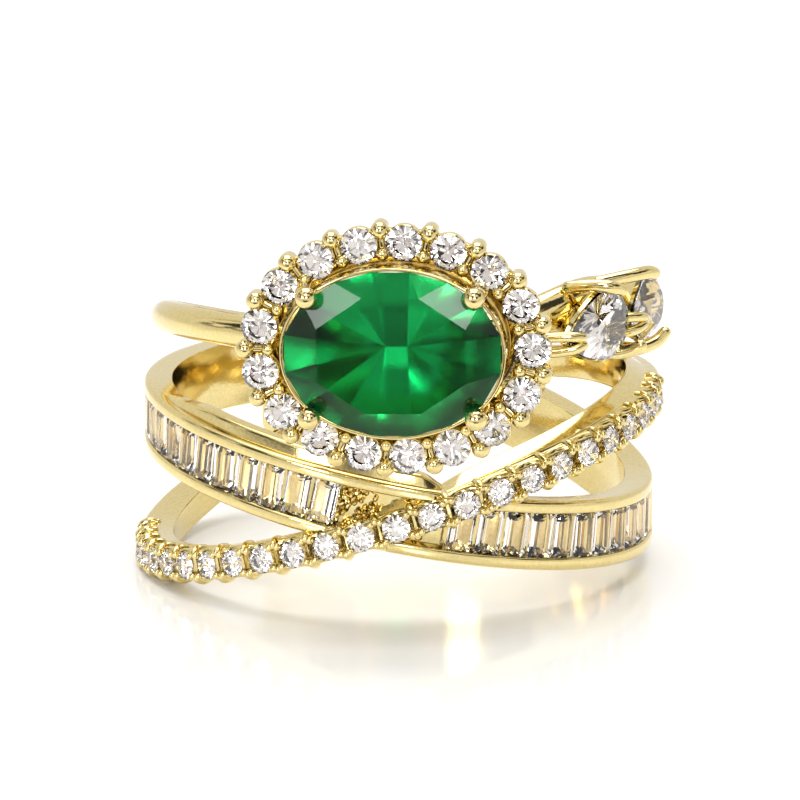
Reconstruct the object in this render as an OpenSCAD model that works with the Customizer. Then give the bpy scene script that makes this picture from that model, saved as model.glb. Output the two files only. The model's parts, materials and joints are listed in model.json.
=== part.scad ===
// Cocktail ring: three bands crossing at the front of the finger, an oval
// centre stone in a halo of round stones, and two pear stones on a shoulder.
// The finger hole runs along Z. The centre stone faces -Y, and +X is to its right.

/* [Finger hole] */
// Inside diameter, the ring size
bore_d = 17.4; // [16:0.2:20]

/* [Round-stone band] */
// Thickness from the finger out to the metal face
pave_t = 1.32; // [1.2:0.02:1.7]
// Width across the band
pave_w = 1.2; // [1.1:0.05:1.5]
// Slope of the band across the finger, high on the right
pave_tilt = 17; // [14:0.5:20]
// Diameter of each small round stone
pave_stone_d = 1.05; // [0.8:0.05:1.1]
// Distance from one stone to the next, along the band
pave_pitch = 1.336; // [1.328:0.002:1.47]
// Number of stones
pave_count = 24; // [12:1:25]
// Angle of the first stone, measured from the front towards the right
pave_first = -90.8; // [-92:0.2:-84]

/* [Channel band] */
// Thickness from the finger out to the rails
channel_t = 1.07; // [0.95:0.01:1.1]
// Width across both rails
channel_w = 2.65; // [2.3:0.05:2.9]
// Slope of the band across the finger, low on the right
channel_tilt = 11; // [8:0.5:14]
// Height of the band's middle above the round-stone band's
channel_up = 0.37; // [0:0.01:0.6]
// Height of a baguette stone, along the finger
baguette_h = 1.75; // [1.4:0.05:1.8]
// Width of a baguette stone, around the finger
baguette_w = 1; // [0.8:0.02:1.02]
// Baguette stones in each row
baguette_count = 11; // [5:1:11]
// Distance from one baguette to the next, along the rails
baguette_pitch = 1.12; // [1.1:0.01:1.2]
// Distance from the front to the first baguette of each row, along the rails
baguette_first = 2.64; // [2.38:0.02:3.08]

/* [Plain band] */
// Thickness of the plain band
plain_t = 0.8; // [0.7:0.05:1]
// Width of the plain band
plain_w = 1.25; // [1:0.05:1.6]
// Height of the plain band where it passes behind the centre stone
plain_front_up = 7; // [6.8:0.1:7.2]
// Height of the plain band at the back of the finger
plain_back_up = 3.1; // [2.8:0.1:3.4]
// Slope of the plain band across the finger, high on the right
plain_tilt = 2.6; // [0:0.2:4]

/* [Back shank] */
// Thickness of the shank
shank_t = 1.1; // [1:0.05:1.3]
// Height of the shank's lower edge
shank_low = -0.5; // [-0.8:0.1:-0.2]
// Height of the shank's upper edge
shank_high = 3; // [2.9:0.1:3.1]
// Half the angle that the shank covers
shank_half = 34; // [30:1:38]
// Rise of the lower bands from the front of the finger to the back
band_rise = 1.1; // [0.8:0.1:1.2]

/* [Centre stone and halo] */
// Length of the oval stone
oval_l = 8; // [7.5:0.1:8.6]
// Height of the oval stone
oval_h = 6; // [5.8:0.1:6.4]
// Depth of the oval stone, table to point
oval_depth = 3.2; // [2.6:0.1:3.6]
// Height of the head's middle
head_up = 7.35; // [7.2:0.05:7.6]
// Sideways place of the head's middle
head_x = 0.15; // [0:0.05:0.4]
// Turn of the head towards the left
head_turn = 5; // [0:0.5:6]
// Distance from the plain band out to the face of the halo
head_stand = 2.8; // [2.5:0.05:3.3]
// Gap between the centre stone's edge and the middle of the halo stones
halo_gap = 1.06; // [1.05:0.01:1.2]
// Diameter of a halo stone
halo_stone_d = 1.2; // [1:0.05:1.25]
// Number of halo stones
halo_count = 17; // [12:1:17]
// Distance from the face of the halo to the middle of the centre stone's edge
oval_raise = 0.7; // [0.5:0.05:0.9]

/* [Pear stones] */
// Length of a pear stone
pear_l = 3.4; // [3:0.1:3.6]
// Width of a pear stone
pear_w = 2.6; // [2.2:0.1:2.7]
// Angle of the lower pear from the front towards the right
pear_angle = 50; // [46:1:56]
// Height of the middle of both pears
pear_up = 7.05; // [6.9:0.05:7.3]
// Diameter of the wire of the cups' prongs
pear_wire_d = 0.5; // [0.4:0.05:0.6]

/* [Hidden] */
$fn = 64;
bore_r = bore_d / 2;
reach = 14;                       // further out than any band
stone_gap = 0.01;                 // air round a stone in its seat
seat_lip = 0.12;                  // how far a rail or bead stands above a stone's edge
rail_lip = 0.08;                  // how far a rail hooks over a baguette's end
floor_t = 0.35;                   // metal between the finger and the channel's floor
pave_r = bore_r + pave_t;
channel_r = bore_r + channel_t;
plain_r = bore_r + plain_t;
degrees = 180 / PI;
pave_step = pave_pitch / pave_r * degrees;
baguette_step = baguette_pitch / channel_r * degrees;
baguette_start = baguette_first / channel_r * degrees;
halo_out = plain_r + head_stand;
stone_deep = 0.43;                // depth of a round stone below its edge, as a share of its diameter
// Underside of the round-stone band at the crossing: sunk into the rails, and below its own stones' points
under_r = min(channel_r - 0.17, pave_r - stone_deep * pave_stone_d - 0.02);
bead_d = 0.42;                    // beads of the round-stone band
halo_bead_d = 0.5;                // beads of the halo
halo_bead_out = 0.52;             // how far the outer beads stand outside the stones' middles
halo_bead_in = 0.42;              // how far the inner beads stand inside them
halo_t = 0.95;                    // thickness of the halo's plate
halo_cup_d = halo_stone_d + 0.3;
gallery_t = 0.45;                 // thickness of the gallery rail
gallery_gap = 0.5;                // open height between the halo and the gallery
claw_d = 0.62;
claw_tip_d = 0.84;
bezel_wall = 0.26;
crown_h = 0.3;                    // height of a stone's crown, as a share of its depth

// The oval is drawn with four arcs: two ends and two long sides.
// An outline a fixed gap outside another keeps the same four centres.
end_r = 1.125 * oval_h * oval_h / oval_l / 2;
end_x = oval_l / 2 - end_r;
side_drop = (end_x * end_x - pow(oval_h / 2 - end_r, 2)) / (oval_h - 2 * end_r);
side_r = oval_h / 2 + side_drop;
oval_sides = 72;

function two(i) = str(i < 10 ? "0" : "", i);
function halo_name(i) = str("halo_stone_", two(i));
function left_name(i) = str("baguette_left_", two(i));
function right_name(i) = str("baguette_right_", two(i));

// ---- colours ----
gold = "#D9C07A";
clear_stone = "#E6E0DA";
green_stone = "#0A8A3C";

// ---- shared shapes ----

// A cylinder wall round the finger
module wall(inner, outer) {
    difference() {
        cylinder(h = 2 * reach, r = outer, center = true);
        cylinder(h = 3 * reach, r = inner, center = true);
    }
}

// A slice of the space round the finger between two angles, counted from the front to the right
module sector(from, to) {
    middle = (from + to) / 2;
    far = 2 * reach;
    linear_extrude(height = 3 * reach, center = true)
        polygon([
            [0, 0],
            [far * sin(from), -far * cos(from)],
            [far * sin(middle), -far * cos(middle)],
            [far * sin(to), -far * cos(to)]
        ]);
}

// A flat sheet of width w, tilted across the finger, that curves up by rise towards the back
module sheet(w, tilt, up, rise) {
    bend_r = (bore_r * bore_r + rise * rise) / (2 * rise);
    translate([0, 0, up]) rotate([0, -tilt, 0]) {
        translate([-reach, -reach, -w / 2]) cube([2 * reach, reach, w]);
        intersection() {
            translate([-reach, 0, -reach]) cube([2 * reach, reach, 2 * reach]);
            translate([0, 0, bend_r]) rotate([0, 90, 0]) difference() {
                cylinder(h = 2 * reach, r = bend_r + w / 2, center = true, $fn = 200);
                cylinder(h = 3 * reach, r = bend_r - w / 2, center = true, $fn = 200);
            }
        }
    }
}

module pave_sheet(w = pave_w) {
    sheet(w, pave_tilt, 0, band_rise);
}

module channel_sheet(w = channel_w) {
    sheet(w, -channel_tilt, channel_up, band_rise);
}

module shank_zone() {
    intersection() {
        sector(180 - shank_half, 180 + shank_half);
        translate([-reach, 0, shank_low]) cube([2 * reach, reach, shank_high - shank_low]);
    }
}

// Put something made at the origin, facing -Y, on the round-stone band or the channel band
module on_pave(angle, r) {
    rotate([0, -pave_tilt, 0]) rotate([0, 0, angle]) translate([0, -band_dist(angle, r, pave_tilt), 0])
        children();
}

module on_channel(angle, r) {
    translate([0, 0, channel_up]) rotate([0, channel_tilt, 0]) rotate([0, 0, angle])
        translate([0, -band_dist(angle, r, channel_tilt), 0]) children();
}

// In a tilted sheet the round wall is an ellipse: the distance to it from the axis at an angle
function band_dist(angle, r, tilt) = r / sqrt(pow(cos(angle), 2) + pow(sin(angle) * cos(tilt), 2));

// A round brilliant with its edge on the XZ plane, facing -Y
module round_stone(d, gap = 0) {
    crown = 0.16 * d;
    pavilion = stone_deep * d;
    rotate([90, 0, 0]) {
        cylinder(h = crown, r1 = d / 2 + gap, r2 = 0.3 * d + gap, $fn = 32);
        translate([0, 0, -pavilion - gap]) cylinder(h = pavilion + gap, r1 = 0, r2 = d / 2 + gap, $fn = 32);
    }
}

// The room that a round stone's crown needs above its edge
module stone_room(d) {
    round_stone(d, stone_gap);
}

// ---- the shank and the bands ----

module back_shank() {
    color(gold) intersection() {
        wall(bore_r, bore_r + shank_t);
        shank_zone();
    }
}

module round_stone_band() {
    color(gold) difference() {
        union() {
            intersection() {
                wall(bore_r, pave_r);
                pave_sheet();
            }
            pave_beads();
        }
        shank_zone();
        intersection() {
            cylinder(h = 2 * reach, r = under_r, center = true);
            channel_sheet();
            sector(-60, 60);
        }
        for (i = [0:pave_count - 1]) on_pave(pave_first + i * pave_step, pave_r) stone_room(pave_stone_d);
    }
}

// Two beads in each gap between stones, one near each edge of the band
module pave_beads() {
    for (i = [0:pave_count]) {
        angle = pave_first + (i - 0.5) * pave_step;
        for (side = [-1, 1]) {
            on_pave(angle, pave_r) translate([0, 0, side * (pave_w - bead_d) / 2]) sphere(d = bead_d, $fn = 24);
        }
    }
}

module round_band_stones() {
    color(clear_stone) for (i = [0:pave_count - 1]) {
        on_pave(pave_first + i * pave_step, pave_r) round_stone(pave_stone_d);
    }
}

module channel_band() {
    lip_r = channel_r - seat_lip - 0.1;
    row_end = baguette_start + (baguette_count - 0.5) * baguette_step;
    color(gold) difference() {
        intersection() {
            wall(bore_r, channel_r);
            channel_sheet();
        }
        shank_zone();
        intersection() {
            wall(under_r, reach);
            pave_sheet();
            sector(-60, 60);
        }
        intersection() {
            wall(bore_r + floor_t, lip_r);
            channel_sheet(baguette_h + 2 * stone_gap);
            sector(-row_end, row_end);
        }
        intersection() {
            wall(lip_r - stone_gap, reach);
            channel_sheet(baguette_h - 2 * rail_lip);
            sector(-row_end, row_end);
        }
    }
}

// One step-cut stone: a block whose face is cut back all round under the rails' lips
module baguette(angle) {
    deep = channel_t - floor_t - seat_lip - 0.1;
    face_h = baguette_h - 2 * rail_lip - 0.1;
    color(clear_stone) difference() {
        on_channel(angle, bore_r + floor_t) {
            translate([0, -deep / 2 - 0.06, 0]) cube([baguette_w, deep - 0.12, baguette_h], center = true);
            translate([0, -deep, 0]) cube([baguette_w - 0.2, 0.24, face_h], center = true);
        }
        intersection() {
            wall(under_r, reach);
            pave_sheet(pave_w + 2 * stone_gap);
        }
    }
}

module plain_band() {
    drop = plain_front_up - plain_back_up;
    bulge = 1.3;
    half = bore_r + plain_t / 2;
    chord = sqrt(drop * drop + 4 * half * half);
    arch_r = (chord * chord / 4 + bulge * bulge) / (2 * bulge);
    color(gold) difference() {
        intersection() {
            wall(bore_r, plain_r);
            translate([0, 0, (plain_front_up + plain_back_up) / 2]) rotate([0, -plain_tilt, 0])
                rotate([-asin(drop / chord), 0, 0]) translate([0, 0, bulge - arch_r]) rotate([0, 90, 0])
                    difference() {
                        cylinder(h = 2 * reach, r = arch_r + plain_w / 2, center = true, $fn = 200);
                        cylinder(h = 3 * reach, r = arch_r - plain_w / 2, center = true, $fn = 200);
                    }
        }
        shank_zone();
        channel_sheet();
        pave_sheet();
        at_pear(lower_pear) pear_brilliant(stone_gap);
        at_pear(upper_pear) pear_brilliant(stone_gap);
    }
}

// ---- the head ----

// From the head's own frame, with its middle at the origin on the halo's face, to the ring's
module head() {
    translate([head_x, -halo_out, head_up]) rotate([0, 0, -head_turn]) children();
}

// The oval's outline, moved outwards by out, as flats too short to see
module oval(out) {
    polygon([for (i = [0:oval_sides - 1]) round_point((i + 0.5) / oval_sides, out)]);
}

// An oval plate between two outlines, from y = front back to y = front + thick
module oval_rim(inner, outer, front, thick) {
    translate([0, front + thick, 0]) rotate([90, 0, 0]) linear_extrude(height = thick) difference() {
        oval(outer);
        oval(inner);
    }
}

// Length round a quarter of an outline: the end arc up to end_turn, then the side arc
function end_turn() = atan2(side_drop, end_x);
function quarter(out) = (end_r + out) * end_turn() * PI / 180 + (side_r + out) * (90 - end_turn()) * PI / 180;

// The point at a length along an outline, from its right end upwards, within the first quarter
function quarter_point(s, out) =
    let (end_part = (end_r + out) * end_turn() * PI / 180)
    s <= end_part
        ? let (a = s / (end_r + out) * 180 / PI) [end_x + (end_r + out) * cos(a), (end_r + out) * sin(a)]
        : let (a = end_turn() + (s - end_part) / (side_r + out) * 180 / PI)
            [(side_r + out) * cos(a), (side_r + out) * sin(a) - side_drop];

// The point at a share t of the whole way round
function round_point(t, out) =
    let (q = quarter(out), u = (t - floor(t)) * 4, k = floor(u), s = (u - k) * q)
    k == 0 ? quarter_point(s, out)
    : k == 1 ? [-quarter_point(q - s, out).x, quarter_point(q - s, out).y]
    : k == 2 ? [-quarter_point(s, out).x, -quarter_point(s, out).y]
    : [quarter_point(q - s, out).x, -quarter_point(q - s, out).y];

module at_round(t, out, y = 0) {
    p = round_point(t, out);
    translate([p.x, y, p.y]) children();
}

// The halo's plate: a rim, a cup round each stone and a foot for each bead
module halo_plan() {
    difference() {
        oval(halo_gap + 0.38);
        oval(halo_gap - 0.38);
    }
    for (i = [0:halo_count - 1]) {
        translate(round_point(i / halo_count, halo_gap)) circle(d = halo_cup_d);
        translate(round_point((i + 0.5) / halo_count, halo_gap + halo_bead_out)) circle(d = halo_bead_d);
        translate(round_point((i + 0.5) / halo_count, halo_gap - halo_bead_in)) circle(d = halo_bead_d);
    }
}

// A raised bead between two stones, rounded off with a cone
module halo_bead() {
    foot = 0.1;
    rise = 0.14;
    d = halo_bead_d - 0.06;
    rotate([90, 0, 0]) {
        translate([0, 0, -foot]) cylinder(h = foot + rise, d = d, $fn = 24);
        translate([0, 0, rise]) cylinder(h = rise, r1 = d / 2, r2 = d / 4, $fn = 24);
    }
}

module halo_frame() {
    color(gold) head() difference() {
        union() {
            translate([0, halo_t, 0]) rotate([90, 0, 0]) linear_extrude(height = halo_t) halo_plan();
            for (i = [0:halo_count - 1]) {
                at_round((i + 0.5) / halo_count, halo_gap + halo_bead_out) halo_bead();
                at_round((i + 0.5) / halo_count, halo_gap - halo_bead_in) halo_bead();
            }
        }
        for (i = [0:halo_count - 1]) at_round(i / halo_count, halo_gap, 0) stone_room(halo_stone_d);
        oval_room();
        claw_room();
    }
}

// The room inside the halo for the basket's rim
module oval_room() {
    translate([0, 2 * halo_t, 0]) rotate([90, 0, 0]) linear_extrude(height = 4 * halo_t)
        oval(bezel_wall + 0.04);
}

module halo_stone(i) {
    color(clear_stone) head() at_round((i - 1) / halo_count, halo_gap, 0) round_stone(halo_stone_d);
}

// The rail behind the halo, its six short legs, and two saddles that meet the plain band
module halo_gallery() {
    rail_y = halo_t + gallery_gap;
    saddle_x = oval_l * 0.43;
    color(gold) difference() {
        head() {
            oval_rim(-0.3, halo_gap + 0.1, rail_y, gallery_t);
            for (i = [0:5]) {
                at_round((i + 0.25) / 6, halo_gap - 0.15, rail_y)
                    rotate([90, 0, 0]) cylinder(h = gallery_gap, d = 0.5, $fn = 32);
            }
            for (side = [-1, 1]) {
                translate([side * saddle_x, rail_y + gallery_t / 2, -0.4])
                    rotate([-90, 0, 0]) cylinder(h = halo_out - bore_r, d = 1, $fn = 32);
            }
        }
        cylinder(h = 2 * reach, r = plain_r);
    }
}

// The lower rail of the basket, which the gallery carries
module basket_foot() {
    oval_rim(-0.3, 0.1, halo_t + gallery_gap - 0.35, 0.35);
}

// The four claws, leaning in over the stone's edge
module claws(extra = 0) {
    foot_y = halo_t + gallery_gap;
    tip_y = -oval_raise - crown_h * oval_depth * 0.55;
    for (sx = [-1, 1]) {
        for (sz = [-1, 1]) {
            translate([sx * oval_l * 0.39, 0, sz * oval_h * 0.353]) {
                translate([0, foot_y, 0]) rotate([90, 0, 0])
                    cylinder(h = foot_y - tip_y, d = claw_d + 2 * extra);
                translate([-sx * 0.06, tip_y, -sz * 0.05]) sphere(d = claw_tip_d + 2 * extra);
            }
        }
    }
}

module claw_room() {
    claws(0.02);
}

module oval_basket() {
    color(gold) head() difference() {
        union() {
            oval_rim(0.02, bezel_wall, -oval_raise + 0.02, 0.5);
            basket_foot();
            claws();
        }
        translate([0, -oval_raise, 0]) oval_brilliant(stone_gap);
    }
}

// The centre stone, facing -Y, with the middle of its edge at the origin
module oval_brilliant(gap = 0) {
    crown = crown_h * oval_depth;
    pavilion = oval_depth - crown;
    hull() {
        facet_ring(oval_l + 2 * gap, oval_h + 2 * gap, 0.12, 0.06, 32, 0);
        facet_ring(oval_l * 0.84 + 2 * gap, oval_h * 0.84 + 2 * gap, -crown * 0.6, 0.01, 8, 22.5);
        facet_ring(oval_l * 0.64 + 2 * gap, oval_h * 0.64 + 2 * gap, -crown, 0.01, 8, 0);
        facet_ring(oval_l * 0.5, oval_h * 0.5, pavilion * 0.62 + gap, 0.01, 8, 22.5);
        facet_ring(oval_l * 0.1, 0.1, pavilion + gap, 0.01, 4, 0);
    }
}

// A thin oval plate with n corners, at depth y
module facet_ring(l, h, y, thick, n, turn) {
    translate([0, y, 0]) rotate([90, 0, 0]) linear_extrude(height = thick)
        polygon([for (i = [0:n - 1]) [l / 2 * cos(i * 360 / n + turn), h / 2 * sin(i * 360 / n + turn)]]);
}

module oval_stone() {
    color(green_stone) head() translate([0, -oval_raise, 0]) oval_brilliant();
}

// ---- the pear stones on the right shoulder ----

// Places of the two pears: angle from the front, distance out from the plain band, turn of the point.
// The upper one's point just clears the round end of the lower one.
pear_step = (pear_l + 0.5) / (plain_r + 0.65) * degrees;
lower_pear = [pear_angle, 0.8, -8];
upper_pear = [pear_angle + pear_step, 0.5, -6];

module at_pear(place) {
    rotate([0, 0, place[0]]) translate([0, -plain_r - place[1], pear_up]) rotate([0, place[2], 0])
        children();
}

// Outline of a pear with its point to the left, moved outwards by out
module pear_outline(out) {
    round_r = pear_w / 2;
    point_x = pear_l - round_r;
    lean = asin(round_r / point_x);
    far = point_x + out / sin(lean);
    circle(r = round_r + out);
    polygon([
        [-far, 0],
        [-(round_r + out) * sin(lean), (round_r + out) * cos(lean)],
        [-(round_r + out) * sin(lean), -(round_r + out) * cos(lean)]
    ]);
}

module pear_plate(out, y, thick) {
    translate([0, y, 0]) rotate([90, 0, 0]) linear_extrude(height = thick) pear_outline(out);
}

module pear_brilliant(gap = 0) {
    hull() {
        pear_plate(gap, 0.05, 0.1);
        pear_plate(-0.35 + gap, -0.3, 0.01);
        translate([0, 1 + gap, 0]) rotate([90, 0, 0]) cylinder(h = 0.01, r = 0.15, $fn = 16);
    }
}

// Rim, foot and three prongs: one at the point and two on the round end
module pear_cup() {
    difference() {
        union() {
            pear_plate(0.16, 0.42, 0.36);
            pear_plate(-0.3, 1.2, 0.9);
            for (a = [0, 60, -60]) pear_prong(a);
        }
        pear_brilliant(stone_gap);
    }
}

module pear_prong(a) {
    out = pear_w / 2 + 0.1;
    x = a == 0 ? -(pear_l - pear_w / 2) : out * cos(a);
    z = a == 0 ? 0 : out * sin(a);
    translate([x, 0.9, z]) rotate([90, 0, 0]) cylinder(h = 1.2, d = pear_wire_d, $fn = 32);
    translate([x, -0.3, z]) sphere(d = pear_wire_d * 1.15, $fn = 32);
}

module lower_pear_cup() {
    color(gold) difference() {
        at_pear(lower_pear) pear_cup();
        cylinder(h = 2 * reach, r = plain_r);
    }
}

module upper_pear_cup() {
    color(gold) difference() {
        at_pear(upper_pear) pear_cup();
        cylinder(h = 2 * reach, r = plain_r);
    }
}

module lower_pear_stone() {
    color(clear_stone) at_pear(lower_pear) pear_brilliant();
}

module upper_pear_stone() {
    color(clear_stone) at_pear(upper_pear) pear_brilliant();
}

back_shank();
plain_band();
channel_band();
round_stone_band();
halo_frame();
halo_gallery();
oval_basket();
oval_stone();
lower_pear_cup();
upper_pear_cup();
lower_pear_stone();
upper_pear_stone();
round_band_stones();
for (i = [1:halo_count]) {
    halo_stone(i);
}
for (i = [1:baguette_count]) {
    baguette(-baguette_start - (i - 1) * baguette_step);
    baguette(baguette_start + (i - 1) * baguette_step);
}
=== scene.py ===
import bpy
import bmesh
import json
import math
from mathutils import Matrix, Vector


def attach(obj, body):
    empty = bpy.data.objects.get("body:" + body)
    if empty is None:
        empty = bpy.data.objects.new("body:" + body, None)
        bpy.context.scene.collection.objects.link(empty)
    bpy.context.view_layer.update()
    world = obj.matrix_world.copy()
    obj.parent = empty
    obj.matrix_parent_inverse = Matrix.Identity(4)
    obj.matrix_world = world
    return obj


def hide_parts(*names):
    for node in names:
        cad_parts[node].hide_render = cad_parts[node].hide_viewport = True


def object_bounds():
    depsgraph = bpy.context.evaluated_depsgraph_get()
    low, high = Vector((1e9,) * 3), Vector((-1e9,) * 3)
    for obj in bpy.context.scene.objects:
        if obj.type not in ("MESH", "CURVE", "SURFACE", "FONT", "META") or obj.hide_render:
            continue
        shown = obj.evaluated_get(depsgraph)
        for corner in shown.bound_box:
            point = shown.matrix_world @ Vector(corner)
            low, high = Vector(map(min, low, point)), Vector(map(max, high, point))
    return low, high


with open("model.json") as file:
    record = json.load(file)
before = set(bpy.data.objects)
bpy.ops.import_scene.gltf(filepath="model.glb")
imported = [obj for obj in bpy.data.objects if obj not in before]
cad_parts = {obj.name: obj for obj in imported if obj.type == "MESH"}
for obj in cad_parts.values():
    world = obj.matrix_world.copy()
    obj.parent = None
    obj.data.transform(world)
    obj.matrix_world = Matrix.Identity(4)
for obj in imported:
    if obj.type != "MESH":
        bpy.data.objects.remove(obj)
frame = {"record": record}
cad_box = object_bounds()

MM = 0.001
GOLD_SLOT, GREEN_SLOT, CLEAR_SLOT = "gold_plated_brass", "green_stone", "clear_stone"

# ---- the ring's own sizes, in millimetres, as it was designed ----
BORE = next(m for m in frame["record"]["mounts"] if m["name"] == "finger_bore")["dims"]["r_mm"]
PAVE_OUT, PAVE_WIDE, PAVE_TILT = BORE + 1.32, 1.2, 17.0
PAVE_STONE, PAVE_FIRST, PAVE_COUNT = 1.05, -90.8, 24
CHANNEL_OUT, CHANNEL_WIDE, CHANNEL_TILT, CHANNEL_UP = BORE + 1.07, 2.65, -11.0, 0.37
BAGUETTE_WIDE, BAGUETTE_TALL, BAGUETTE_COUNT = 1.0, 1.75, 11
# Steps along the bands are lengths, turned here to degrees round the finger
PAVE_PITCH = math.degrees(1.336 / PAVE_OUT)
BAGUETTE_FIRST, BAGUETTE_PITCH = math.degrees(2.64 / CHANNEL_OUT), math.degrees(1.12 / CHANNEL_OUT)
BAND_RISE = 1.1
PLAIN_OUT, PLAIN_WIDE = BORE + 0.8, 1.25
HEAD_X, HEAD_OUT, HEAD_UP, HEAD_TURN, HEAD_ROLL = 0.15, 12.3, 7.35, -5.0, 1.2
OVAL_LONG, OVAL_TALL, OVAL_RAISE = 4.0, 3.05, 0.7
HALO_GAP, HALO_STONE, HALO_COUNT = 1.06, 1.36, 17


# ---- the camera ----
def make_camera():
    """A long lens a quarter of a metre away, a little above the ring and a touch to its right."""
    away, up, round_right = 0.24795, math.radians(13.76), math.radians(1.46)
    cam = bpy.data.objects.new("camera", bpy.data.cameras.new("camera"))
    bpy.context.scene.collection.objects.link(cam)
    side = Vector((math.sin(round_right), -math.cos(round_right), 0))
    cam.location = (side * math.cos(up) + Vector((0, 0, math.sin(up)))) * away
    look_at = Vector((0.00004, 0, 0.00261))
    cam.rotation_euler = (look_at - cam.location).to_track_quat("-Z", "Y").to_euler()
    cam.data.sensor_width = 36
    cam.data.lens = 289.5
    cam.data.clip_start, cam.data.clip_end = 0.01, 10
    bpy.context.scene.camera = cam


make_camera()


# ---- materials ----
def rgb(hex_colour):
    """An sRGB hex colour as linear red, green, blue and alpha."""
    parts = [int(hex_colour[i : i + 2], 16) / 255 for i in (1, 3, 5)]
    return [c / 12.92 if c <= 0.04045 else ((c + 0.055) / 1.055) ** 2.4 for c in parts] + [1.0]


def add(tree, kind, inputs=None, **settings):
    """Adds a node to a tree. An input is a value, or an output socket to link from."""
    node = tree.nodes.new(kind)
    for key, value in settings.items():
        setattr(node, key, value)
    for key, value in (inputs or {}).items():
        if isinstance(value, bpy.types.NodeSocket):
            tree.links.new(value, node.inputs[key])
        else:
            node.inputs[key].default_value = value
    return node


def ranged(tree, value, from_range=(0.0, 1.0), to_range=(0.0, 1.0), **settings):
    """A value taken from one range to another, as an output socket."""
    inputs = {"Value": value, "From Min": from_range[0], "From Max": from_range[1]}
    inputs |= {"To Min": to_range[0], "To Max": to_range[1]}
    return add(tree, "ShaderNodeMapRange", inputs, **settings).outputs["Result"]


def times(tree, a, b):
    return add(tree, "ShaderNodeMath", {0: a, 1: b}, operation="MULTIPLY").outputs[0]


def new_material(name):
    material = bpy.data.materials.new(name)
    material.use_nodes = True
    material.node_tree.nodes.clear()
    return material, material.node_tree


def polished_gold_plate():
    """Pale yellow gold on polished brass: mirror-like, with a soft mop's faint swirl in the shine."""
    material, tree = new_material("polished_gold_plate")
    place = add(tree, "ShaderNodeTexCoord").outputs["Object"]
    swirl = add(tree, "ShaderNodeTexNoise", {"Vector": place, "Scale": 1 / (1.6 * MM), "Detail": 2.0})
    grain = add(tree, "ShaderNodeTexNoise", {"Vector": place, "Scale": 1 / (0.12 * MM), "Detail": 3.0})
    shine = ranged(tree, swirl.outputs["Fac"], to_range=(0.05, 0.13))
    tone = ranged(tree, grain.outputs["Fac"], from_range=(0.3, 0.7))
    colour = add(
        tree,
        "ShaderNodeMix",
        {"Factor": tone, "A": rgb("#DFCA86"), "B": rgb("#EAD89E")},
        data_type="RGBA",
    )
    both = add(
        tree,
        "ShaderNodeMath",
        {0: swirl.outputs["Fac"], 1: grain.outputs["Fac"]},
        operation="ADD",
    )
    bump = add(
        tree,
        "ShaderNodeBump",
        {"Height": both.outputs[0], "Strength": 0.05, "Distance": 0.05 * MM},
    )
    shader = add(
        tree,
        "ShaderNodeBsdfPrincipled",
        {
            "Base Color": colour.outputs["Result"],
            "Roughness": shine,
            "Normal": bump.outputs["Normal"],
            "Metallic": 1.0,
        },
    )
    add(tree, "ShaderNodeOutputMaterial", {"Surface": shader.outputs["BSDF"]})
    return material


def stone_material(name, low, high, ior, cloud, glance="#FFFFFF", rough=0.0):
    """A polished stone that light passes through, with a faint cloud in its colour."""
    material, tree = new_material(name)
    place = add(tree, "ShaderNodeTexCoord").outputs["Object"]
    noise = add(tree, "ShaderNodeTexNoise", {"Vector": place, "Scale": 1 / (cloud * MM), "Detail": 2.0})
    colour = add(
        tree,
        "ShaderNodeMix",
        {"Factor": noise.outputs["Fac"], "A": rgb(low), "B": rgb(high)},
        data_type="RGBA",
    )
    shader = add(
        tree,
        "ShaderNodeBsdfPrincipled",
        {
            "Base Color": colour.outputs["Result"],
            "Roughness": rough,
            "IOR": ior,
            "Transmission Weight": 1.0,
            "Specular Tint": rgb(glance),
        },
    )
    add(tree, "ShaderNodeOutputMaterial", {"Surface": shader.outputs["BSDF"]})
    return material


def cut_green_glass():
    """Green glass, its polish a little soft: deep where light crosses it twice, bright where it leaves."""
    return stone_material("cut_green_glass", "#008C40", "#069C4C", 1.8, 6.0, "#989898", 0.13)


def cut_crystal():
    """Clear crystal, step cut: mostly a window on the gold under it, with soft white flashes."""
    return stone_material("cut_crystal", "#FAF3EC", "#FFFCF8", 1.62, 1.5)


def cut_zirconia():
    """Clear cubic zirconia, faceted: bright, with hard dark facets and a trace of warm pink."""
    return stone_material("cut_zirconia", "#FBF1EE", "#FFFBF8", 2.3, 1.5)


GOLD = polished_gold_plate()
GREEN = cut_green_glass()
CLEAR = cut_zirconia()
CRYSTAL = cut_crystal()


# ---- making pieces ----
def make_mesh(name, points, faces, material, sharp=35):
    """A smooth mesh from points in millimetres, sharp past an angle, with its normals outward."""
    mesh = bpy.data.meshes.new(name)
    mesh.from_pydata([Vector(p) * MM for p in points], [], faces)
    work = bmesh.new()
    work.from_mesh(mesh)
    bmesh.ops.remove_doubles(work, verts=work.verts, dist=0.0005 * MM)
    bmesh.ops.recalc_face_normals(work, faces=work.faces)
    work.to_mesh(mesh)
    work.free()
    mesh.shade_smooth()
    mesh.set_sharp_from_angle(angle=math.radians(sharp))
    mesh.materials.append(material)
    return mesh


def keep(name, mesh, slot, *nodes):
    """Puts a finished mesh in the scene as a piece of the ring that stands for these CAD nodes."""
    piece = bpy.data.objects.new(name, mesh)
    bpy.context.scene.collection.objects.link(piece)
    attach(piece, "root")
    if nodes:
        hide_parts(*nodes)
    return piece


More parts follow.
